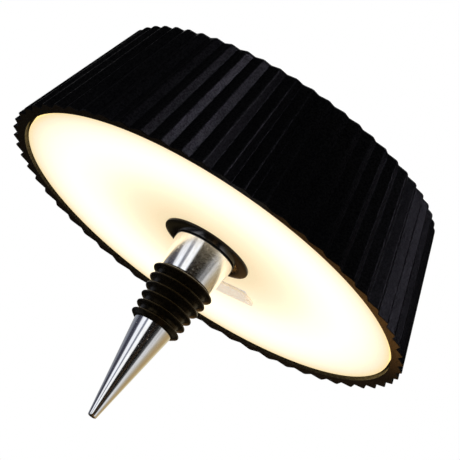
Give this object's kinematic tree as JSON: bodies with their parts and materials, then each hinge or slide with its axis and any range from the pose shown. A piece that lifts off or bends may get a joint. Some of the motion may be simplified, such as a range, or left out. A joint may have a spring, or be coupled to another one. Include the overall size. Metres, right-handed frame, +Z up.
{
  "type": "bottle top lamp",
  "caption": "Rechargeable lamp head with a pleated cone shade and round lit diffuser on a ribbed, tapered stopper that plugs a bottle's mouth.",
  "frame": {"origin": "on the stopper's axis in the plane of the bottle's mouth, just under the widest rib", "axes": "+Z up along the stopper's axis towards the shade's top; -Y towards the side that the picture shows; +X to the right as seen from there"},
  "size_m": [0.1604, 0.1604, 0.121],
  "materials": {
    "polished_aluminium": "polished",
    "black_rubber": "smooth, slightly glossy",
    "plated_steel": "zinc plated",
    "washer_plastic": "plain nylon",
    "shade_plastic": "fine spark texture",
    "cover_plastic": "fine spark texture",
    "ring_metal": "satin",
    "button_plastic": "satin",
    "green_board": "solder mask",
    "switch_plastic": "moulded",
    "plunger_plastic": "moulded",
    "opal_plastic": "satin opal, lit from behind",
    "collar_plastic": "satin",
    "white_plastic": "moulded, reflective white",
    "column_plastic": "glass-filled nylon",
    "insert_brass": "turned",
    "white_board": "white solder mask on an aluminium core",
    "led_chip": "phosphor in a white case",
    "cell_wrap": "shrink film over the can",
    "cradle_plastic": "moulded",
    "contact_metal": "nickel plated",
    "inductor_ferrite": "pressed ferrite",
    "capacitor_can": "sleeved can",
    "chip_plastic": "moulded",
    "socket_steel": "drawn shell",
    "flap_silicone": "translucent silicone",
    "red_wire": "wire sleeving",
    "black_wire": "wire sleeving",
    "white_wire": "wire sleeving"
  },
  "bodies": {
    "stopper": {"neck": "polished_aluminium", "cone": "polished_aluminium", "rubber_sleeve": "black_rubber", "stud": "plated_steel"},
    "washer": {"slip_washer": "washer_plastic"},
    "head": {"shade": "shade_plastic", "top_cover": "cover_plastic", "cover_screws": "plated_steel", "button_ring": "ring_metal", "switch_board": "green_board", "switch_screws": "plated_steel", "tact_switch": "switch_plastic", "diffuser": "opal_plastic", "collar": "collar_plastic", "collar_screws": "plated_steel", "light_tray": "white_plastic", "tray_screws": "plated_steel", "centre_column": "column_plastic", "threaded_insert": "insert_brass", "column_screws": "plated_steel", "led_board": "white_board", "leds": "led_chip", "led_board_screws": "plated_steel", "battery_cell_front": "cell_wrap", "battery_cell_back": "cell_wrap", "battery_cradle_front": "cradle_plastic", "battery_cradle_back": "cradle_plastic", "battery_contacts": "contact_metal", "driver_board": "green_board", "driver_screws": "plated_steel", "inductor": "inductor_ferrite", "capacitors": "capacitor_can", "driver_chips": "chip_plastic", "port_sleeve": "white_plastic", "usb_socket": "socket_steel", "charge_board": "green_board", "flap_strap": "flap_silicone", "battery_leads_plus": "red_wire", "battery_leads_minus": "black_wire", "led_leads": "red_wire", "switch_leads": "white_wire", "charge_leads": "black_wire"},
    "button": {"button_cap": "button_plastic", "switch_plunger": "plunger_plastic"},
    "flap": {"port_flap": "flap_silicone"}
  },
  "joints": [
    {"name": "head_lift", "type": "slide", "parent": "stopper", "child": "washer", "axis": [0, 0, 1], "range_m": [0, 0.00875]},
    {"name": "head_turn", "type": "hinge", "parent": "washer", "child": "head", "pos_m": [0, 0, 0.0152], "axis": [0, 0, 1], "range_deg": [0, 2520]},
    {"name": "button_press", "type": "slide", "parent": "head", "child": "button", "axis": [0, 0, -1], "range_m": [0, 0.0005], "stiffness_N_per_m": 900, "springref_m": -0.0012},
    {"name": "flap_hinge", "type": "hinge", "parent": "head", "child": "flap", "pos_m": [0.00824, 0.03051, 0.01585], "axis": [0.515, 0.8572, 0], "range_deg": [0, 105]}
  ],
  "couplings": [
    {"joint": "head_lift", "follows": "head_turn", "m_per_rad": 0.00019894}
  ]
}
